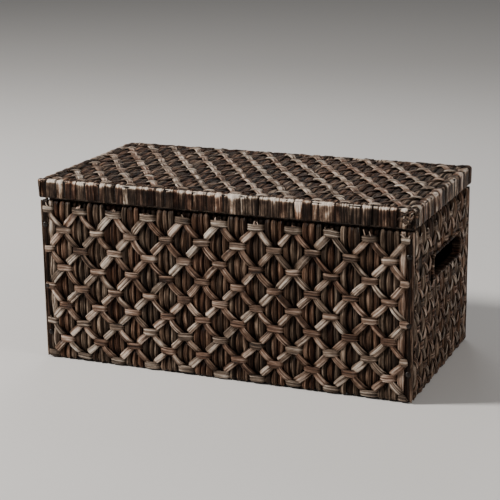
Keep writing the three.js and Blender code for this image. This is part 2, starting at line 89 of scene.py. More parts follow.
class Slant(NamedTuple):
    """How the strips that slant one way lie. Heights are shares of the face's relief."""

    half_width: float
    held: float  # height where a clasp holds the strip down
    crest: float  # height half-way between two clasps
    darkest: float  # tones of the darkest and the palest strip
    palest: float
    dive: float  # how much further down a strip may plunge just past a clasp


# Partly painted light: the rising strips on the long walls and the falling strips on the lid are
# painted paler, as a sheen where light catches them, and the other slant darker, as shade; within
# each range the tone is the leaves' own and random.
WALL_RISING = Slant(7.4 * MM, held=-0.42, crest=0.13, darkest=0.40, palest=1.0, dive=0.7)
WALL_FALLING = Slant(6.6 * MM, held=-0.27, crest=0.08, darkest=0.1, palest=0.80, dive=0.3)
END_RISING = Slant(6.4 * MM, held=-0.42, crest=0.06, darkest=0.1, palest=0.75, dive=0.7)
LID_RISING = Slant(5.6 * MM, held=-0.45, crest=-0.12, darkest=-0.15, palest=0.25, dive=0.2)
LID_FALLING = Slant(6.6 * MM, held=-0.15, crest=0.14, darkest=0.55, palest=1.1, dive=0.0)


class FaceLook(NamedTuple):
    """What differs between the long walls, the ends and the lid top."""

    upright_paleness: float
    clasp_paleness: float
    clasp_arch: float  # how much of a clasp's bulge is a smooth arch, as a share of the relief
    insets: tuple  # how far short of the face's first and last edges the clasps stop
    rising: Slant
    falling: Slant


LONG_WALL = FaceLook(0.0, 0.05, 0.26, (3 * MM, 11 * MM), WALL_RISING, WALL_FALLING)
END_WALL = FaceLook(0.3, -0.2, 0.26, (11 * MM, 11 * MM), END_RISING, WALL_FALLING)
LID_TOP = FaceLook(0.16, 0.30, 0.3, (0, 0), LID_RISING, LID_FALLING)


# For each side of the lid's rim: how pale its leaves are, where the ends are painted paler as if
# lit from the side, how much paler still along its outer edge, as rubbed wear and a painted
# highlight, and how many loose ends it has near the corner where it stops.
RIM_SIDES = {
    "front": (0.18, 1.7, 18),
    "right": (0.50, 1.0, 0),
    "back": (0.18, 1.7, 8),
    "left": (0.50, 1.0, 0),
}


# ---------- swept strands
def unit(vectors):
    """The vectors of an array, each scaled to length one."""
    return vectors / np.linalg.norm(vectors, axis=-1, keepdims=True)


def section(count, squareness):
    """A closed cross-section with half sizes of one: 1 is an ellipse, less is a flat strip."""
    angle = (np.arange(count) + 0.5) * 2 * math.pi / count - math.pi / 2
    across = np.sign(np.cos(angle)) * np.abs(np.cos(angle)) ** squareness
    proud = np.sign(np.sin(angle)) * np.abs(np.sin(angle)) ** squareness
    return across, proud


STALK = section(12, 0.9)
STRIP = section(12, 0.5)


def carry_on(x, xs, ys):
    """Linear interpolation that carries the first and the last slope on past the ends."""
    before = np.minimum(x - xs[0], 0) * (ys[1] - ys[0]) / (xs[1] - xs[0])
    after = np.maximum(x - xs[-1], 0) * (ys[-1] - ys[-2]) / (xs[-1] - xs[-2])
    return np.interp(x, xs, ys) + before + after


def run_length(points):
    """The distance along a line of points, at each of them."""
    steps = np.linalg.norm(np.diff(points, axis=0), axis=1)
    return np.concatenate([[0.0], np.cumsum(steps)])


def wander(rng, distance, size):
    """A slow random drift along a strand, of about the given size, from three waves."""
    total = np.zeros(np.shape(distance))
    for wavelength in (230 * MM, 110 * MM, 47 * MM):
        turns = distance / wavelength + rng.uniform()
        total = total + rng.normal(0, size / 1.7) * np.sin(2 * math.pi * turns)
    return total


def end_taper(count, rings):
    """Rounds a strand over the given number of rings at each end."""
    place = np.minimum(np.arange(count), np.arange(count)[::-1])
    return np.sqrt(1 - (1 - np.clip((place + 0.6) / rings, 0, 1)) ** 2)


class Bundle:
    """Collects swept strands and turns them into one mesh object."""

    def __init__(self, rng):
        self.rng = rng
        self.points, self.grain, self.look = [], [], []
        self.quads, self.triangles = [], []
        self.count = 0

    def sweep(self, path, out, width, thickness, shape, look, camber=0.0, folds=0.1, taper=3):
        """Adds one strand. out points away from the surface; width and thickness are half sizes.

        look is the strand's tone, its wear and painted shade, along it, and its hue. camber lowers
        its edges, folds is how deep its creases are, and taper how many rings each end is rounded
        over.
        """
        count = len(path)
        if count < 4:
            return
        tangent = unit(np.gradient(path, axis=0))
        side = unit(np.cross(out, tangent))
        normal = np.cross(tangent, side)
        across, proud = shape
        distance = run_length(path)
        crease = self.creases(distance, across, proud)
        ends = end_taper(count, taper)
        wide = (width * ends)[:, None] * across * (1 + 0.3 * folds * crease)
        deep = (thickness * ends)[:, None] * proud * (1 + folds * crease) - camber * across**2
        rings = path[:, None] + side[:, None] * wide[..., None] + normal[:, None] * deep[..., None]
        self.add_rings(rings, path)
        self.add_look(distance, wide, deep, proud, look)

    def creases(self, distance, across, proud):
        """Long folds that drift slowly round the strand, about -1 to 1."""
        total = np.zeros((len(distance), len(across)))
        for waves, share in ((1.7, 0.45), (3.1, 0.4), (4.9, 0.35)):
            start, drift = self.rng.uniform(0, 2 * math.pi), self.rng.normal(0, 14)
            phase = waves * math.pi * across[None] + start + drift * distance[:, None]
            total += share * np.sin(phase)
        return total * np.abs(proud)

    def add_rings(self, rings, path):
        """Joins the rings with quads and closes both ends with fans."""
        rows, around, _ = rings.shape
        index = self.count + np.arange(rows * around).reshape(rows, around)
        turned = np.roll(index, -1, axis=1)
        quads = np.stack([index[:-1], turned[:-1], turned[1:], index[1:]], axis=-1)
        self.quads.append(quads.reshape(-1, 4))
        start = np.full(around, self.count + rows * around)
        self.triangles.append(np.stack([turned[0], index[0], start], axis=-1))
        self.triangles.append(np.stack([index[-1], turned[-1], start + 1], axis=-1))
        self.points.append(np.concatenate([rings.reshape(-1, 3), path[:1], path[-1:]]))
        self.count += rows * around + 2

    def add_look(self, distance, wide, deep, proud, look):
        """Grain coordinates that follow the strand, then its tone, its wear and painted shade, and
        its hue.
        """
        tone, wear_and_shade = (np.broadcast_to(value, len(distance))[:, None] for value in look[:2])
        seed = self.rng.uniform(0, 9, 3)
        along = np.broadcast_to(distance[:, None], wide.shape)
        grain = np.stack([along, wide, deep], axis=-1) + seed
        # Rubbed wear and painted shade: each strand is paler on its crown and keeps only its tone
        # down its sides, which so read darker.
        worn_and_shaded = np.clip(proud, 0, 1)[None] ** 0.6 * wear_and_shade
        values = np.stack(np.broadcast_arrays(tone, worn_and_shaded, look[2]), axis=-1)
        self.grain.append(np.concatenate([grain.reshape(-1, 3), grain[0, :1], grain[-1, :1]]))
        self.look.append(np.concatenate([values.reshape(-1, 3), values[0, :1], values[-1, :1]]))

    def make(self, name, material):
        """The finished object, with grain and look stored on its points."""
        faces = [np.concatenate(self.quads), np.concatenate(self.triangles)]
        piece = mesh_object(name, np.concatenate(self.points), faces, material)
        for label, parts in (("grain", self.grain), ("look", self.look)):
            values = np.concatenate(parts).astype(np.float32)
            layer = piece.data.attributes.new(label, "FLOAT_VECTOR", "POINT")
            layer.data.foreach_set("vector", values.ravel())
        return piece


def mesh_object(name, points, faces, material):
    """A smooth mesh object from points and arrays of faces, each array of one face size."""
    corners = np.concatenate([group.ravel() for group in faces])
    sizes = np.concatenate([np.full(len(group), group.shape[1]) for group in faces])
    mesh = bpy.data.meshes.new(name)
    mesh.vertices.add(len(points))
    mesh.vertices.foreach_set("co", points.astype(np.float32).ravel())
    mesh.loops.add(len(corners))
    mesh.loops.foreach_set("vertex_index", corners.astype(np.int32))
    mesh.polygons.add(len(sizes))
    mesh.polygons.foreach_set("loop_start", (np.cumsum(sizes) - sizes).astype(np.int32))
    mesh.polygons.foreach_set("use_smooth", np.ones(len(sizes), dtype=bool))
    mesh.update(calc_edges=True)
    mesh.materials.append(material)
    piece = bpy.data.objects.new(name, mesh)
    bpy.context.collection.objects.link(piece)
    return piece


def attach(piece, body):
    """Makes a finished piece ride on a body."""
    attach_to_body(piece, body)


# ---------- surfaces to lay strands on
class Face:
    """One side of the trunk: u runs across it, v up it, w out of its outermost surface."""

    def __init__(self, origin, across, up, length, height, corner=0.0):
        self.origin, self.across, self.up = np.array((origin, across, up), dtype=float)
        self.out = np.cross(self.across, self.up)
        self.length, self.height, self.corner = length, height, corner

    def place(self, u, v, w):
        """World points. Past either upright edge the face bends round the rounded corner."""
        u, v, w = np.broadcast_arrays(np.asarray(u, float), v, w)
        along, proud = u.copy(), w.copy()
        for mirrored in (False, True) if self.corner else ():
            past = self.corner - (self.length - u if mirrored else u)
            angle = np.clip(past / self.corner, 0, math.pi / 2)
            beyond = np.maximum(past - self.corner * math.pi / 2, 0)
            bent = self.corner - (self.corner + w) * np.sin(angle)
            sunk = (self.corner + w) * np.cos(angle) - self.corner - beyond
            along = np.where(past > 0, self.length - bent if mirrored else bent, along)
            proud = np.where(past > 0, sunk, proud)
        flat = self.origin + along[..., None] * self.across + v[..., None] * self.up
        return flat + proud[..., None] * self.out

    def line(self, u, v, w):
        """A path's world points, and the direction out of the face at each."""
        points = self.place(u, v, w)
        return points, unit(self.place(u, v, np.asarray(w) + MM) - points)


class Opening(NamedTuple):
    """A rectangle in a face that strands stop at."""

    centre_u: float
    centre_v: float
    length: float
    height: float

    def clear(self, u, v):
        """True where a point of the face is outside the rectangle."""
        beside = np.abs(u - self.centre_u) > self.length / 2
        return beside | (np.abs(v - self.centre_v) > self.height / 2)


NO_OPENING = Opening(-1.0, -1.0, 0.0, 0.0)  # outside every face


def visible_runs(mask, shortest=5):
    """Start and end of each unbroken run of True in a mask, apart from very short ones."""
    padded = np.concatenate([[False], mask, [False]]).astype(int)
    edges = np.flatnonzero(np.diff(padded))
    return [(a, b) for a, b in zip(edges[::2], edges[1::2]) if b - a >= shortest]


class Outline:
    """A rounded rectangle walked anticlockwise by distance, from the start of its front side."""

    def __init__(self, half_width, half_depth, radius):
        self.radius = radius
        self.reaches = [half_depth, half_width] * 2
        self.sides = [2 * (half_width - radius), 2 * (half_depth - radius)] * 2
        self.arc = math.pi / 2 * radius
        self.length = sum(self.sides) + 4 * self.arc

    def at(self, distance):
        """Points and outward normals at distances along the outline."""
        distance = np.atleast_1d(np.asarray(distance, float)) % self.length
        points, normals = np.zeros((2, len(distance), 2))
        start = 0.0
        for k, (side, reach) in enumerate(zip(self.sides, self.reaches)):
            turn = (k - 1) * math.pi / 2
            outward = np.array([math.cos(turn), math.sin(turn)])
            along = np.array([-outward[1], outward[0]])
            on = (distance >= start) & (distance < start + side)
            offset = distance[on] - start - side / 2
            points[on] = outward * reach + along * offset[:, None]
            normals[on] = outward
            start += side
            on = (distance >= start) & (distance < start + self.arc)
            angle = turn + (distance[on] - start) / self.radius
            normals[on] = np.stack([np.cos(angle), np.sin(angle)], axis=-1)
            centre = outward * (reach - self.radius) + along * side / 2
            points[on] = centre + self.radius * normals[on]
            start += self.arc
        return points, normals


class Hoop:
    """An outline standing in space: bands are laid by distance round it, reach and height."""

    def __init__(self, origin, across, up, out, outline):
        self.origin = np.array(origin, dtype=float)
        self.axes = np.array([across, up], dtype=float)
        self.out, self.outline = np.array(out, dtype=float), outline

    def place(self, distance, reach, height):
        """World points at a distance along the outline, pushed outwards and raised."""
        points, normals = self.outline.at(distance)
        flat = (points + normals * np.asarray(reach)[..., None]) @ self.axes
        return self.origin + flat + np.asarray(height)[..., None] * self.out

    def directions(self, distance, outward, raised):
        """World directions that mix the outline's outward normal with the hoop's axis."""
        normals = self.outline.at(distance)[1] @ self.axes
        return unit(normals * outward[:, None] + self.out * raised[:, None])


# ---------- weaving
class Weave:
    """The lattice of one woven face: groups of upright strands, and rows of clasps.

    A clasp is where a row's horizontal strip passes over a group. It does so at every other
    group, and at the groups between them in the next row. Strips slant from clasp to clasp.
    """

    def __init__(self, face, lattice, seed, opening=NO_OPENING):
        self.face, self.opening = face, opening
        self.groups, self.strands, self.relief = lattice.groups, lattice.strands, lattice.relief
        self.rows = lattice.first_row + np.concatenate([[0.0], np.cumsum(lattice.row_gaps)])
        self.rng = np.random.default_rng(seed)
        edge = lattice.edge or face.length / lattice.groups
        inner = np.linspace(edge, face.length - edge, lattice.groups - 1)
        self.bounds = np.concatenate([[0.0], inner, [face.length]])
        self.pitch = inner[1] - inner[0]
        centres = (self.bounds[1:] + self.bounds[:-1]) / 2
        clasps = (len(self.rows), self.groups)
        self.clasp_u = centres + self.rng.normal(0, 0.9 * MM, clasps)
        self.clasp_v = self.rows[:, None] + self.rng.normal(0, 1.0 * MM, clasps)
        for row in self.clasp_v:
            row += wander(self.rng, centres, 1.0 * MM)

    def heights(self, spacing, top_gap=END_GAP):
        """Evenly spaced heights up the face, for a strand that runs its whole height."""
        return np.linspace(END_GAP, self.face.height - top_gap, int(self.face.height / spacing))

    def row_phase(self, v):
        """Row number at height v, which may lie below the first row or above the last."""
        return carry_on(v, self.rows, np.arange(len(self.rows)))

    def swell(self, group, v):
        """-1 where a clasp holds the group down, 1 where the group stands proud."""
        wave = -np.cos(math.pi * (self.row_phase(v) + group))
        return np.sign(wave) * np.abs(wave) ** 0.8

    def lay(self, bundle, u, v, w, width, thickness, shape, tone, wear_and_shade, **options):
        """Lays one strand on the face, leaving out what would cross the opening."""
        hue = self.rng.uniform()
        points, out = self.face.line(u, v, w)
        count = len(points)
        sizes = [np.broadcast_to(value, count) for value in (width, thickness, tone, wear_and_shade)]
        for a, b in visible_runs(self.opening.clear(u, v)):
            wide, thick, tones, worn_and_shaded = (values[a:b] for values in sizes)
            bundle.sweep(points[a:b], out[a:b], wide, thick, shape, (tones, worn_and_shaded, hue), **options)


def weave_uprights(weave, bundles, first, last, paleness):
    """Plump upright strands that dip under the clasps and swell between them."""
    rng, face, depth = weave.rng, weave.face, weave.relief
    spacing = weave.pitch / weave.strands
    v = weave.heights(3.3 * MM)
    from_edge = np.clip(np.minimum(v, face.height - v) / (9 * MM), 0, 1)
    roll = depth * 0.35 * (1 - from_edge) ** 2  # they sink at the top and bottom edges
    for group in range(first, last):
        centre = (weave.bounds[group] + weave.bounds[group + 1]) / 2
        swell = weave.swell(group, v)
        for strand in range(weave.strands):
            offset = (strand - (weave.strands - 1) / 2) * spacing
            u = centre + offset * (0.95 + 0.09 * swell) + rng.normal(0, 0.4 * MM)
            u = u + wander(rng, v, 0.5 * MM)
            breadth = 0.45 + 0.07 * swell + wander(rng, v, 0.02)
            width = spacing * breadth * rng.uniform(0.92, 1.06)
            thickness = depth * (0.40 + 0.10 * swell) * rng.uniform(0.88, 1.1)
            w = depth * (-0.78 + 0.26 * swell + rng.normal(0, 0.045))
            w = w + wander(rng, v, 0.4 * MM) - roll
            # Painted shade: where a clasp holds the group down its strands get a darker tone and
            # less of the paler wear term; where they swell out they are paler, partly as rubbed
            # wear.
            tone = paleness + rng.beta(2.0, 2.6) + wander(rng, v, 0.12) + 0.10 * swell
            wear_and_shade = 0.15 + 0.75 * (swell + 1) / 2
            bundle = bundles[(group * weave.strands + strand) % len(bundles)]
            weave.lay(bundle, u, v, w, width, thickness, STALK, tone, wear_and_shade, folds=0.34, taper=2)


def weave_rows(weave, bundle, look):
    """Horizontal strips that clasp one group of strands and hide behind the next."""
    rng, face, depth = weave.rng, weave.face, weave.relief
    groups = np.arange(weave.groups)
    ends = np.arange(weave.groups + 1)
    for row in range(len(weave.rows)):
        start = look.insets[0] * rng.uniform(0.7, 1.2)
        end = face.length - look.insets[1] * rng.uniform(0.7, 1.2)
        u = np.linspace(start, end, int((end - start) / (2.2 * MM)))
        place = np.interp(u, weave.bounds, ends)
        tightness = np.interp(place - 0.5, groups, rng.uniform(-0.35, 0.12, weave.groups))
        wave = np.cos(math.pi * (place - 0.5 + row))
        over = np.tanh(3.4 * (wave + tightness)) / math.tanh(3.4)
        tilt = np.interp(place - 0.5, groups, rng.normal(0, 0.05, weave.groups))
        lean = (place - np.floor(place) - 0.5) * weave.pitch * tilt
        v = np.interp(place - 0.5, groups, weave.clasp_v[row]) + lean * np.clip(over, 0, 1)
        w = depth * (-0.62 + (0.60 - look.clasp_arch) * over + look.clasp_arch * wave)
        swollen = np.interp(place, ends, rng.normal(1, 0.10, weave.groups + 1))
        width = (CLASP_HALF_HEIGHT + CLASP_SWELL * over) * swollen
        v = np.maximum(v, width + END_GAP)
        shade = np.interp(place, ends, rng.beta(2.2, 2.2, weave.groups + 1))
        tone = look.clasp_paleness + 0.75 * shade
        # Painted shade: a clasp is less pale where it passes behind a group than where it lies
        # over one, where the paler part is also rubbed wear.
        wear_and_shade = 0.45 + 0.55 * np.clip(over, 0, 1)
        weave.lay(bundle, u, v, w, width, CLASP_THICKNESS, STRIP, tone, wear_and_shade,
                  camber=0.7 * MM, folds=0.45)


def diagonal_chains(weave, step):
    """Runs of clasps that one slanting strip passes under, from the lowest row up."""
    chains = []
    for row in range(len(weave.rows)):
        for group in range(weave.groups):
            starts_here = row == 0 or not 0 <= group - step < weave.groups
            if (row + group) % 2 or not starts_here:
                continue
            length = min(len(weave.rows) - row, weave.groups - group if step > 0 else group + 1)
            if length > 1:
                chains.append([(row + k, group + step * k) for k in range(length)])
    return chains


def weave_slants(weave, bundle, step, slant):
    """Flat strips that cross the uprights slantwise and are pinned by the clasps.

    step is 1 where they rise to the right and -1 where they rise to the left.
    """
    rng, depth = weave.rng, weave.relief
    overhang = 0.16  # how far a strip runs past its last clasps, in gaps between clasps
    rings_per_gap = 18
    for chain in diagonal_chains(weave, step):
        knots = np.arange(len(chain))
        place = np.linspace(-overhang, len(chain) - 1 + overhang, rings_per_gap * len(chain))
        run = place * CLASP_SPACING
        u = carry_on(place, knots, [weave.clasp_u[clasp] for clasp in chain])
        v = carry_on(place, knots, [weave.clasp_v[clasp] for clasp in chain])
        inside = (v > 1 * MM) & (v < weave.face.height - 1 * MM)
        u = u + wander(rng, run, 0.8 * MM)
        apart = np.abs(place - np.round(place)) * 2
        rise = np.clip((apart - 0.26) / 0.5, 0, 1)
        rise = rise * rise * (3 - 2 * rise)
        crests = np.interp(place, knots, rng.normal(slant.crest, 0.05, len(chain)))
        dives = np.interp(np.floor(place), knots, rng.uniform(0, slant.dive, len(chain)))
        dives = dives * np.clip((0.30 - (place - np.floor(place))) / 0.12, 0, 1)
        w = depth * (slant.held + (crests - slant.held) * rise - dives)
        width = slant.half_width * (0.86 + 0.14 * rise) * rng.uniform(0.88, 1.12)
        width = width * (1 + wander(rng, run, 0.05))
        shade = np.interp(place, knots + 0.5, rng.beta(2.2, 2.2, len(chain)))
        tone = slant.darkest + (slant.palest - slant.darkest) * shade
        # Painted shade: a strip is less pale where a clasp holds it down than at its crest between
        # clasps, where the paler part is also rubbed wear.
        wear_and_shade = 0.35 + 0.65 * rise
        u, v, w, width, tone, wear_and_shade = (value[inside] for value in (u, v, w, width, tone, wear_and_shade))
        weave.lay(bundle, u, v, w, width, LEAF_THICKNESS, STRIP, tone, wear_and_shade,
                  camber=0.8 * MM, folds=0.6)


def weave_edges(weave, bundle):
    """Down each upright edge: a flat sunk strip by the corner, and a plump strand inside it."""
    rng, face, depth = weave.rng, weave.face, weave.relief
    v = weave.heights(4 * MM)
    pitch = (weave.bounds[1] - CORNER_BEAD) / 2
    for mirrored in (False, True):
        swell = weave.swell(weave.groups - 1 if mirrored else 0, v)
        for middle, sunk, bulge, thickness, tone, wear_and_shade in (
            (CORNER_BEAD + 0.5 * pitch, -0.62, 0.06, 2.4 * MM, 0.34, 0.35),
            (CORNER_BEAD + 1.5 * pitch, -0.54, 0.22, 4.0 * MM, 0.66, 0.8),
        ):
            reach = middle + wander(rng, v, 0.5 * MM)
            u = face.length - reach if mirrored else reach
            w = depth * (sunk + bulge * swell) + wander(rng, v, 0.3 * MM)
            width = pitch * (0.5 + 0.3 * bulge * swell) * (1 + wander(rng, v, 0.04))
            shade = tone * rng.uniform(0.7, 1.3) + wander(rng, v, 0.12)
            weave.lay(bundle, u, v, w, width, thickness, STALK, shade, wear_and_shade, folds=0.4, taper=2)


def weave_corners(weave, bundle):
    """A thin bead down each rounded corner, and the hidden cane that backs it."""
    rng, face = weave.rng, weave.face
    v = weave.heights(4 * MM)
    middle = CORNER_RADIUS * (1 - math.pi / 4)
    for edge in (0.0, face.length):
        inward = 1 if edge == 0 else -1
        for u_in, w_in, radius, tone in (
            (middle, -1.2 * MM, 2.0 * MM, 0.55),
            (CORNER_RADIUS, -8.5 * MM, 6.2 * MM, 0.1),
        ):
            u = np.full(len(v), edge + inward * u_in) + wander(rng, v, 0.2 * MM)
            w = np.full(len(v), w_in) + wander(rng, v, 0.2 * MM)
            weave.lay(bundle, u, v, w, radius, radius, STALK, tone, 0.6, folds=0.15, taper=2)


def weave_lining(weave, bundle):
    """Wide flat strips behind the strands, which close the wall and face the inside."""
    rng, face = weave.rng, weave.face
    v = weave.heights(5 * MM, top_gap=2 * MM)
    margin, spacing, depth = 14 * MM, 20 * MM, 14 * MM
    lanes = np.linspace(margin, face.length - margin, int(face.length / spacing))
    half_width = (lanes[1] - lanes[0]) * 0.56
    for lane, centre in enumerate(lanes):
        u = centre + wander(rng, v, 0.5 * MM)
        w = np.full(len(v), -depth - (lane % 2) * 1.0 * MM)
        tone, wear_and_shade = rng.beta(2, 3), 0.2
        weave.lay(bundle, u, v, w, half_width, 0.6 * MM, STRIP, tone, wear_and_shade, folds=0.4, taper=1)


def add_tuft(weave, bundle, root, heading, length, half_width):
    """A short loose end of leaf that lifts off the face and curls."""
    rng = weave.rng
    place = np.linspace(0, 1, 6)
    curl = heading + rng.normal(0, 0.5) * place
    run = place * length
    u = root[0] + run * np.cos(curl)
    v = root[1] + run * np.sin(curl)
    w = -1.2 * MM + 2.2 * MM * place * (1.2 - place)
    width = half_width * (1 - 0.5 * place)
    tone, wear_and_shade = rng.uniform(0.5, 1), 0.9
    weave.lay(bundle, u, v, w, width, 0.5 * MM, STRIP, tone, wear_and_shade, folds=0.5, taper=2)


def weave_tufts(weave, bundle):
    """Loose leaf ends above the top clasps and beside the clasps at the upright edges."""
    rng, face = weave.rng, weave.face
    top = len(weave.rows) - 1
    for group in range(weave.groups):
        if (top + group) % 2 == 0:
            for _ in range(rng.integers(1, 4)):
                u = weave.clasp_u[top, group] + rng.normal(0, 7 * MM)
                v = weave.clasp_v[top, group] + 5 * MM
                length = rng.uniform(5, face.height / MM - v / MM - 1) * MM
                heading = rng.normal(1.57, 0.4)
                add_tuft(weave, bundle, (u, v), heading, length, rng.uniform(1.2, 3) * MM)
    for row in range(2, top, 2):
        for edge, outward in ((0, math.pi), (weave.groups - 1, 0.0)):
            u = weave.clasp_u[row, edge] - math.cos(outward) * 2 * MM
            v = weave.clasp_v[row, edge] + rng.normal(0, 4 * MM)
            heading = outward + rng.normal(0, 0.5)
            length = rng.uniform(6, 10) * MM
            add_tuft(weave, bundle, (u, v), heading, length, rng.uniform(1.2, 2.4) * MM)


def weave_face(name, weave, materials, look, body):
    """Every piece of one woven face, in place of its CAD slab."""
    kinds = {"uprights_a": "stalk", "uprights_b": "stalk", "clasps": "strip"}
    kinds |= {"rising_strips": "strip", "falling_strips": "strip"}
    if body == "trunk":
        kinds |= {"edge_strips": "strip", "lining": "stalk"}
    bundles = {kind: Bundle(weave.rng) for kind in kinds}
    uprights = [bundles["uprights_a"], bundles["uprights_b"]]
    margin = 1 if body == "trunk" else 0  # a wall's first and last groups are its edge strips
    weave_uprights(weave, uprights, margin, weave.groups - margin, look.upright_paleness)
    weave_rows(weave, bundles["clasps"], look)
    weave_slants(weave, bundles["rising_strips"], 1, look.rising)
    weave_slants(weave, bundles["falling_strips"], -1, look.falling)
    if body == "trunk":
        weave_edges(weave, bundles["edge_strips"])
        weave_corners(weave, bundles["edge_strips"])
        weave_tufts(weave, bundles["clasps"])
        weave_lining(weave, bundles["lining"])
    pieces = [bundles[kind].make(f"{name}_{kind}", materials[kinds[kind]]) for kind in kinds]
    for piece in pieces:
        attach(piece, body)
    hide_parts(f"{name}_weave")


# ---------- leaf wraps
def arc(centre, radius, start, end, steps=6):
    """Points of an arc between two angles in degrees."""
    angles = np.radians(np.linspace(start, end, steps))
    return [(centre[0] + radius * math.cos(a), centre[1] + radius * math.sin(a)) for a in angles]


def resample(points, spacing):
    """The same polyline with evenly spaced points."""
    points = np.array(points)
    distance = run_length(points)
    wanted = np.linspace(0, distance[-1], int(distance[-1] / spacing) + 1)
    return np.stack([np.interp(wanted, distance, points[:, k]) for k in (0, 1)], axis=-1)


def random_splits(rng, total, smallest, largest):
    """Centres and lengths that share out a total at random."""
    lengths = []
    while sum(lengths) < total:
        lengths.append(rng.uniform(smallest, largest))
    lengths = np.array(lengths) * total / sum(lengths)
    return np.cumsum(lengths) - lengths / 2, lengths


def add_wrap(bundle, hoop, profile, centre, half_width, lean, lift, tip, look):
    """One flat leaf laid over a rim: profile runs up its outside and over its top.

    lean is how far it slants round the rim, lift how far it stands off, tip how far it tilts.
    """
    reach, height = profile[:, 0], profile[:, 1]
    tangent = unit(np.gradient(profile, axis=0))
    outward, raised = tangent[:, 1], -tangent[:, 0]
    place = np.linspace(-0.5, 0.5, len(profile))
    distance = centre + lean * place
    path = hoop.place(distance, reach + lift * outward, height + lift * raised)
    out = hoop.directions(distance, outward, raised)
    out = out + tip * unit(np.cross(out, np.gradient(path, axis=0)))
    rng = bundle.rng
    width = half_width * (1 + wander(rng, place * 80 * MM, 0.05))
    thickness = np.full(len(path), LEAF_THICKNESS)
    bundle.sweep(path, out, width, thickness, STRIP, look, camber=0.8 * MM, folds=1.0)


def wrap_rim(bundle, hoop, profile, stretch, widths, edge_wear_and_highlight, paleness=0.0):
    """Leaves of random widths side by side round a rim, alternate ones on top.

    stretch is where on the rim they start and end, and widths is their smallest and largest.
    The argument after widths is how much paler they are along the rim's outer edge, as rubbed
    wear and a painted highlight, and paleness how much paler they are all over.
    """
    rng = bundle.rng
    start, end = stretch
    edge_wear_and_highlight_reach, overlap = 2.0 * MM, 0.8 * MM
    centres, lengths = random_splits(rng, end - start, *widths)
    # Along the rim's outer top edge the leaves are paler: partly rubbed wear, partly a painted
    # highlight.
    corner = profile.sum(axis=1)
    near_edge = np.exp((corner - corner.max()) / edge_wear_and_highlight_reach)
    for k, (centre, length) in enumerate(zip(start + centres, lengths)):
        tone = paleness + rng.beta(1.3, 2.0) + wander(rng, profile[:, 1], 0.14)
        wear_and_shade = 0.12 + edge_wear_and_highlight * near_edge * rng.uniform(0.6, 1.0)
        lift = (k % 2) * LEAF_THICKNESS + rng.uniform(-0.5, 0.3) * MM
        lean, tip = rng.normal(0, 1.2 * MM), rng.normal(0, 0.06)
        look = (tone, wear_and_shade, rng.uniform())
        add_wrap(bundle, hoop, profile, centre, length / 2 + overlap, lean, lift, tip, look)


def lid_rim_profile(height):
    """Reach and height up the rim's outside, round its top edge and in over the weave.

    A reach of 0 is the outline, and the profile stays inside it.
    """
    outside, bottom, top = -2.8 * MM, 0.9 * MM, height - 1.2 * MM
    hem_radius, edge_radius, ring_spacing = 1.2 * MM, 4.5 * MM, 2.4 * MM
    hem, edge = outside - hem_radius, outside - edge_radius
    points = [(hem - 1.4 * MM, bottom), (hem, bottom)]
    points += arc((hem, bottom + hem_radius), hem_radius, -90, 0)
    points += arc((edge, top - edge_radius), edge_radius, 0, 90)
    points += [(-14 * MM, top), (-17.5 * MM, top - 0.9 * MM), (-19.5 * MM, top - 3.3 * MM)]
    return resample(points, ring_spacing)


def add_loose_ends(bundle, hoop, centre, spread, levels, count):
    """Short crumpled ends of leaf on the outside of a rim, scattered about one place.

    levels is the lowest and the highest that they reach up the rim.
    """
    rng = bundle.rng
    ones = np.ones(7)
    for _ in range(count):
        length = rng.uniform(9, 20) * MM
        run = np.linspace(0, length, len(ones))
        heading = rng.normal(0, 0.9) + rng.normal(0, 0.7) * run / length
        distance = centre + rng.normal(0, spread) + run * np.cos(heading)
        level = np.clip(rng.uniform(*levels) + run * np.sin(heading), 1 * MM, levels[1])
        lift = (0.3 + 1.5 * np.sin(math.pi * run / length)) * MM
        path = hoop.place(distance, lift, level)
        out = hoop.directions(distance, ones, 0 * ones)
        width = rng.uniform(1.5, 3.2) * MM * ones
        look = (rng.uniform(0, 0.8), 0.45, rng.uniform())
        bundle.sweep(path, out, width, 0.6 * MM * ones, STRIP, look, folds=1.0, taper=2)


def make_lid_rim(materials):
    """The leaf-wrapped band round the lid: a hidden core, and one piece of wraps for each side."""
    low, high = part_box("lid_rim_front")
    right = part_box("lid_rim_right")[1]
    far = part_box("lid_rim_back")[1]
    height = high.z - low.z
    outline = Outline(right.x, (far.y - low.y) / 2, RIM_CORNER_RADIUS)
    centre = (0, (far.y + low.y) / 2, low.z)
    hoop = Hoop(centre, (1, 0, 0), (0, 1, 0), (0, 0, 1), outline)
    profile = lid_rim_profile(height)
    levels = (5 * MM, height - 4 * MM)
    start = -outline.arc / 2
    rng = np.random.default_rng(RIM_SEED)
    for k, (name, (paleness, edge_wear_and_highlight, loose_ends)) in enumerate(RIM_SIDES.items()):
        end = start + outline.sides[k] + outline.arc
        bundle = Bundle(rng)
        wrap_rim(bundle, hoop, profile, (start, end), RIM_LEAVES, edge_wear_and_highlight, paleness)
        add_loose_ends(bundle, hoop, end - outline.arc, 9 * MM, levels, loose_ends)
        piece = bundle.make(f"lid_rim_{name}_wraps", materials["wrap"])
        attach(piece, "lid")
        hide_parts(f"lid_rim_{name}")
        start = end
    core = Bundle(rng)
    add_band(core, hoop, -3.6 * MM, height / 2, 1, height / 2 - 2.5 * MM, 0.6 * MM)
    add_band(core, hoop, -8.0 * MM, height - 3.4 * MM, 0, 4.6 * MM, 1.4 * MM)
    attach(core.make("lid_rim_core", materials["stalk"]), "lid")


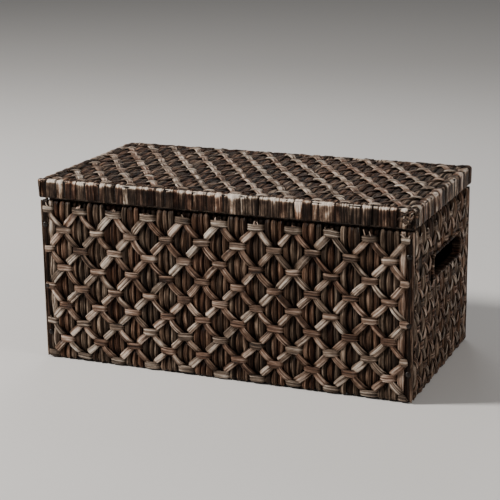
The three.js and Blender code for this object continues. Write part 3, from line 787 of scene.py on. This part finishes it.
def add_band(bundle, hoop, reach, level, outward, half_width, thickness):
    """A flat band right round a hoop: outward is 1 for an upright band, 0 for a level one."""
    distance = np.linspace(0, hoop.outline.length, 240)
    ones = np.ones(len(distance))
    path = hoop.place(distance, reach * ones, level * ones)
    out = hoop.directions(distance, outward * ones, (1 - outward) * ones)
    dark = (0.1, 0.1, 0.5)
    bundle.sweep(path, out, half_width * ones, thickness * ones, STRIP, dark, taper=1)


def hand_hole_box(end):
    """The middle and the size of the space that a hand-hole's rim takes up."""
    low, high = (np.array(corner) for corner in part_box(f"hand_hole_wrap_{end}"))
    return (low + high) / 2, high - low


def make_hand_hole_rims(faces, materials):
    """Leaf bands bound round the rim of each hand-hole."""
    for k, end in enumerate(("left", "right")):
        face = faces[end]
        middle, size = hand_hole_box(end)
        on_face = middle + face.out * ((face.origin - middle) @ face.out)
        rim = HAND_RIM_RADIUS
        outline = Outline(size[1] / 2 - rim, size[2] / 2 - rim, HAND_HOLE_CORNER)
        hoop = Hoop(on_face, face.across, face.up, face.out, outline)
        points = [(rim, -14 * MM), (rim, 0.2 * MM)] + arc((0, 0.2 * MM), rim, 0, 180, 7)
        profile = resample(points + [(-rim, -15 * MM)], 2.0 * MM) * (0.8, 1)
        bundle = Bundle(np.random.default_rng(HAND_HOLE_SEED + k))
        wrap_rim(bundle, hoop, profile, (0, outline.length), HAND_HOLE_LEAVES, edge_wear_and_highlight=0.4)
        # A hidden collar closes the wall between the rim and the lining's strips.
        add_band(bundle, hoop, 8.6 * MM, -12.9 * MM, 0, 7.6 * MM, 0.4 * MM)
        piece = bundle.make(f"hand_hole_{end}_bands", materials["wrap"])
        attach(piece, "trunk")
        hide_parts(f"hand_hole_wrap_{end}")


# ---------- nails
def add_turned(points, faces, origin, axis, profile, steps=20):
    """Appends a surface of revolution, from (radius, height) points, about an axis."""
    turn = Vector((0, 0, 1)).rotation_difference(Vector(axis)).to_matrix()
    first = len(points)
    for radius, height in profile:
        for k in range(steps):
            angle = 2 * math.pi * k / steps
            local = Vector((radius * math.cos(angle), radius * math.sin(angle), height))
            points.append(Vector(origin) + turn @ local)
    for ring in range(len(profile) - 1):
        for k in range(steps):
            near, far = first + ring * steps, first + (ring + 1) * steps
            faces.append((near + k, near + (k + 1) % steps, far + (k + 1) % steps, far + k))


def make_nails(faces, materials):
    """Domed nail heads down the upright edges of the front and the back."""
    points, quads = [], []
    tip_radius = 0.01 * MM
    slopes = np.radians(np.linspace(8, 90, 7))
    profile = [(NAIL_RADIUS * 0.9, -3 * MM), (NAIL_RADIUS, -2 * MM), (NAIL_RADIUS, 0)]
    profile += [(NAIL_RADIUS * math.cos(a) + tip_radius, NAIL_DOME * math.sin(a)) for a in slopes]
    rng = np.random.default_rng(NAIL_SEED)
    for name in ("front", "back"):
        face = faces[name]
        for reach in (NAIL_INSET, face.length - NAIL_INSET):
            for height in NAIL_HEIGHTS:
                u, v = reach + rng.normal(0, 1 * MM), height + rng.normal(0, 2 * MM)
                add_turned(points, quads, face.place(u, v, -2.0 * MM), face.out, profile)
    piece = mesh_object("nails", np.array(points), [np.array(quads)], materials["nail"])
    attach(piece, "trunk")


# ---------- material building blocks
def feed(tree, made, inputs):
    """Sets a node's inputs, each by its name or number, to a value or from a socket."""
    for key, value in inputs.items():
        if isinstance(value, bpy.types.NodeSocket):
            tree.links.new(value, made.inputs[key])
        else:
            made.inputs[key].default_value = value


def node(tree, kind, inputs=None, **settings):
    """Adds a shader node."""
    made = tree.nodes.new(kind)
    for key, value in settings.items():
        setattr(made, key, value)
    feed(tree, made, inputs or {})
    return made


def new_material(name):
    """A material, its node tree and its shader."""
    material = bpy.data.materials.new(name)
    material.use_nodes = True
    return material, material.node_tree, material.node_tree.nodes["Principled BSDF"]


def ramp(tree, factor, stops):
    """A colour ramp from (position, (r, g, b)) stops."""
    made = node(tree, "ShaderNodeValToRGB", {"Fac": factor})
    elements = made.color_ramp.elements
    while len(elements) < len(stops):
        elements.new(0.5)
    for element, (position, colour) in zip(elements, stops):
        element.position = position
        element.color = (*colour, 1)
    return made.outputs["Color"]


def weighted_sum(tree, terms, constant=0.0):
    """Adds (socket, weight) terms and a constant."""
    total = None
    for socket, weight in terms:
        inputs = {0: socket, 1: weight, 2: constant if total is None else total}
        total = node(tree, "ShaderNodeMath", inputs, operation="MULTIPLY_ADD").outputs[0]
    return total


def noise(tree, vector, scale, detail, roughness, low=0.3, high=0.7):
    """Noise on scaled coordinates, stretched so that low to high become 0 to 1."""
    scaled = node(tree, "ShaderNodeMapping", {"Vector": vector, "Scale": scale}).outputs[0]
    inputs = {"Vector": scaled, "Scale": 1.0, "Detail": detail, "Roughness": roughness}
    made = node(tree, "ShaderNodeTexNoise", inputs)
    return remap(tree, made.outputs["Fac"], low, high, 0, 1)


def remap(tree, value, low, high, to_low, to_high):
    """Maps low to high onto to_low to to_high, and holds the ends."""
    inputs = {"Value": value, "From Min": low, "From Max": high}
    inputs |= {"To Min": to_low, "To Max": to_high}
    return node(tree, "ShaderNodeMapRange", inputs).outputs["Result"]


def bump(tree, height, distance):
    """Normals for fine relief: distance is how deep a height of 1 is."""
    inputs = {"Strength": 1.0, "Distance": distance, "Height": height}
    return node(tree, "ShaderNodeBump", inputs).outputs["Normal"]


# ---------- materials
class Shade(NamedTuple):
    """How much each source adds to how pale a leaf is, from 0 to 1 along its colour ramp."""

    tone: float
    wear_and_shade: float
    streaks: float
    fibres: float
    blotches: float
    base: float


def leaf_material(name, stops, mix, roughness, relief):
    """Dried plant strands: dark stain in the grooves, pale rubbed fibres on the ridges."""
    material, tree, shader = new_material(name)
    grain = node(tree, "ShaderNodeAttribute", attribute_name="grain").outputs["Vector"]
    look = node(tree, "ShaderNodeAttribute", attribute_name="look").outputs["Vector"]
    # The look's middle channel is rubbed wear and painted shade: paler crowns, darker sides and
    # dips.
    tone, wear_and_shade, hue = node(tree, "ShaderNodeSeparateXYZ", {0: look}).outputs
    streaks = noise(tree, grain, (10, 260, 260), 2, 0.5, 0.36, 0.64)
    fibres = noise(tree, grain, (22, 820, 820), 3, 0.6, 0.34, 0.66)
    blotches = noise(tree, grain, (34, 60, 60), 4, 0.6, 0.33, 0.67)
    sources = (tone, wear_and_shade, streaks, fibres, blotches)
    shade = weighted_sum(tree, zip(sources, mix), mix.base)
    tint = {
        "Color": ramp(tree, shade, stops),
        "Hue": remap(tree, hue, 0, 1, 0.492, 0.512),
        "Saturation": remap(tree, hue, 0, 1, 1.25, 0.9),
    }
    ridges = weighted_sum(tree, [(streaks, 0.6), (fibres, 0.3), (blotches, 0.3)])
    feed(tree, shader, {
        "Base Color": node(tree, "ShaderNodeHueSaturation", tint).outputs["Color"],
        "Roughness": weighted_sum(tree, [(fibres, 0.18), (blotches, 0.12)], roughness - 0.15),
        "Normal": bump(tree, ridges, relief),
        "Specular IOR Level": 0.11,
    })
    return material


STALK_STOPS = [
    (0.12, (0.0080, 0.0038, 0.0023)),
    (0.38, (0.0280, 0.0150, 0.0095)),
    (0.64, (0.093, 0.056, 0.0375)),
    (0.96, (0.350, 0.250, 0.188)),
]
STRIP_STOPS = [
    (0.10, (0.0085, 0.0048, 0.0033)),
    (0.38, (0.054, 0.032, 0.0222)),
    (0.66, (0.198, 0.134, 0.099)),
    (0.98, (0.640, 0.530, 0.445)),
]
WRAP_STOPS = [
    (0.14, (0.0070, 0.0034, 0.0022)),
    (0.42, (0.0290, 0.0155, 0.0105)),
    (0.68, (0.125, 0.079, 0.057)),
    (0.84, (0.400, 0.285, 0.210)),
    (0.98, (0.800, 0.690, 0.600)),
]


def cad_noise_material(name, stops, scale, roughness, relief, metallic=0.0, specular=0.5):
    """A material for CAD solids, from noise in the solid's own coordinates."""
    material, tree, shader = new_material(name)
    place = node(tree, "ShaderNodeTexCoord").outputs["Object"]
    broad = noise(tree, place, scale, 4, 0.6)
    fine = noise(tree, place, [6 * value for value in scale], 3, 0.6)
    shade = weighted_sum(tree, [(broad, 0.6), (fine, 0.4)])
    feed(tree, shader, {
        "Base Color": ramp(tree, shade, stops),
        "Roughness": remap(tree, shade, 0, 1, roughness - 0.08, roughness + 0.1),
        "Normal": bump(tree, shade, relief),
        "Metallic": metallic,
        "Specular IOR Level": specular,
    })
    return material


def wood_material(name, stops, axis, roughness):
    """Planed wood with its grain along one axis: 0, 1 or 2 for X, Y or Z."""
    across_grain, along_grain = 130.0, 3.5  # noise waves in a metre
    scale = [across_grain] * 3
    scale[axis] = along_grain
    return cad_noise_material(name, stops, scale, roughness, 0.25 * MM)


FRAME_STOPS = [
    (0.20, (0.028, 0.017, 0.011)),
    (0.55, (0.070, 0.044, 0.028)),
    (0.85, (0.125, 0.082, 0.052)),
]
BOARD_STOPS = [
    (0.20, (0.075, 0.047, 0.029)),
    (0.55, (0.132, 0.087, 0.056)),
    (0.85, (0.20, 0.138, 0.092)),
]
STEEL_STOPS = [(0.2, (0.30, 0.29, 0.27)), (0.8, (0.50, 0.48, 0.45))]
NAIL_STOPS = [
    (0.25, (0.006, 0.005, 0.005)),
    (0.60, (0.014, 0.011, 0.010)),
    (0.90, (0.08, 0.055, 0.04)),
]
GLIDE_STOPS = [(0.2, (0.015, 0.015, 0.015)), (0.8, (0.026, 0.026, 0.027))]


def make_materials():
    """Every material, by what it is used for."""
    stalk = Shade(0.32, 0.54, 0.52, 0.24, 0.24, base=-0.63)
    strip = Shade(0.48, 0.38, 0.46, 0.28, 0.24, base=-0.48)
    wrap = Shade(0.46, 0.62, 0.42, 0.28, 0.46, base=-0.48)
    return {
        "stalk": leaf_material("upright_strand", STALK_STOPS, stalk, 0.50, 3.2 * MM),
        "strip": leaf_material("flat_strip", STRIP_STOPS, strip, 0.42, 2.8 * MM),
        "wrap": leaf_material("rim_wrap", WRAP_STOPS, wrap, 0.40, 3.6 * MM),
        "wood_x": wood_material("stained_wood_x", FRAME_STOPS, 0, 0.62),
        "wood_y": wood_material("stained_wood_y", FRAME_STOPS, 1, 0.62),
        "wood_z": wood_material("stained_wood_z", FRAME_STOPS, 2, 0.62),
        "board": wood_material("stained_plywood", BOARD_STOPS, 0, 0.58),
        "steel": cad_noise_material("zinc_plate", STEEL_STOPS, [60] * 3, 0.36, 0.02 * MM, 1.0),
        "nail": cad_noise_material("nail_iron", NAIL_STOPS, [220] * 3, 0.22, 0.15 * MM, 0.0, 0.2),
        "glide": cad_noise_material("black_plastic", GLIDE_STOPS, [400] * 3, 0.55, 0.05 * MM),
    }


CAD_MATERIALS = {
    "hinge": "steel", "stay": "steel", "foot_glide": "glide",
    "base_panel": "board", "lid_board": "board",
    "corner_post": "wood_z", "lid_brace": "wood_y",
}  # by how a CAD node's name starts; the rest are rails


def cad_material(name, materials):
    """The material of a carried-over CAD node, chosen by its name."""
    for start, material in CAD_MATERIALS.items():
        if name.startswith(start):
            return materials[material]
    return materials["wood_y" if "_left" in name or "_right" in name else "wood_x"]


def dress_cad(materials):
    """Gives every CAD node its own material."""
    for name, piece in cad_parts.items():
        made = cad_material(name, materials)
        if not piece.material_slots:
            piece.data.materials.append(made)
        for slot in piece.material_slots:
            slot.material = made


# ---------- the trunk
def trunk_faces():
    """The four woven walls and the lid top, placed from the CAD slabs."""
    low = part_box("front_weave")[0]
    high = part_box("back_weave")[1]
    height = high.z - low.z
    long_side, short_side = high.x - low.x, high.y - low.y
    faces = {}
    for name, corner, across, length in (
        ("front", (low.x, low.y), (1, 0, 0), long_side),
        ("right", (high.x, low.y), (0, 1, 0), short_side),
        ("back", (high.x, high.y), (-1, 0, 0), long_side),
        ("left", (low.x, high.y), (0, -1, 0), short_side),
    ):
        faces[name] = Face((*corner, low.z), across, (0, 0, 1), length, height, CORNER_RADIUS)
    low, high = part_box("lid_weave")
    corner = (low.x, low.y, high.z)
    faces["lid"] = Face(corner, (1, 0, 0), (0, 1, 0), high.x - low.x, high.y - low.y)
    return faces


def hand_hole(face, end):
    """The part of an end wall that its hand-hole's rim takes up."""
    middle, size = hand_hole_box(end)
    centre = middle - face.origin
    return Opening(centre @ face.across, centre @ face.up, size[1], size[2])


def weave_trunk(faces, materials):
    """All four walls and the lid top."""
    for k, name in enumerate(("front", "back")):
        weave = Weave(faces[name], WALL_LATTICE, WALL_SEED + k)
        weave_face(name, weave, materials, LONG_WALL, "trunk")
    for k, name in enumerate(("right", "left")):
        weave = Weave(faces[name], END_LATTICE, END_SEED + k, hand_hole(faces[name], name))
        weave_face(name, weave, materials, END_WALL, "trunk")
    weave_face("lid", Weave(faces["lid"], LID_LATTICE, LID_SEED), materials, LID_TOP, "lid")


# ---------- stage
def add_camera():
    """A long lens to the right of the front and a little above the lid."""
    aim, distance = Vector((0, -0.051, 0.232)), 3.094
    turn, rise, roll = (math.radians(angle) for angle in (22.43, 15.195, -0.64))
    lens = bpy.data.cameras.new("camera")
    lens.sensor_width = 36  # millimetres, as is the focal length
    lens.lens = 106.0
    camera = bpy.data.objects.new("camera", lens)
    facing = Matrix.Rotation(turn, 4, "Z") @ Matrix.Rotation(math.pi / 2 - rise, 4, "X")
    facing = facing @ Matrix.Rotation(roll, 4, "Z")
    camera.matrix_world = Matrix.Translation(aim) @ facing @ Matrix.Translation((0, 0, distance))
    bpy.context.collection.objects.link(camera)
    bpy.context.scene.camera = camera


def add_area_light(name, location, size, power, colour):
    """A round soft light that points at the middle of the trunk. power is in watts."""
    data = bpy.data.lights.new(name, "AREA")
    data.shape = "DISK"
    data.size = size
    data.energy = power
    data.color = colour
    light = bpy.data.objects.new(name, data)
    light.location = location
    aim = Vector((0, 0, 0.2)) - Vector(location)
    light.rotation_euler = aim.to_track_quat("-Z", "Y").to_euler()
    bpy.context.collection.objects.link(light)


def add_stage():
    """A pale floor, a dim even surround and three soft lights."""
    bpy.ops.mesh.primitive_plane_add(size=60, location=(0, 0, 0))
    floor = bpy.context.object
    floor.name = "floor"
    material, tree, shader = new_material("floor_paint")
    feed(tree, shader, {"Base Color": (0.72, 0.71, 0.7, 1), "Roughness": 0.8})
    floor.data.materials.append(material)
    world = bpy.context.scene.world = bpy.data.worlds.new("studio")
    world.use_nodes = True
    tree = world.node_tree
    feed(tree, tree.nodes["Background"], {"Color": (0.95, 0.94, 0.93, 1), "Strength": 0.14})
    add_area_light("key", (-4.4, -2.1, 3.3), size=0.95, power=520, colour=(1, 0.96, 0.91))
    add_area_light("fill", (2.8, -0.6, 1.5), size=1.4, power=33, colour=(1, 0.95, 0.9))
    add_area_light("back", (-0.9, 2.3, 2.3), size=1.4, power=16, colour=(1, 1, 1))


materials = make_materials()
faces = trunk_faces()
dress_cad(materials)
weave_trunk(faces, materials)
make_lid_rim(materials)
make_hand_hole_rims(faces, materials)
make_nails(faces, materials)
add_camera()
add_stage()
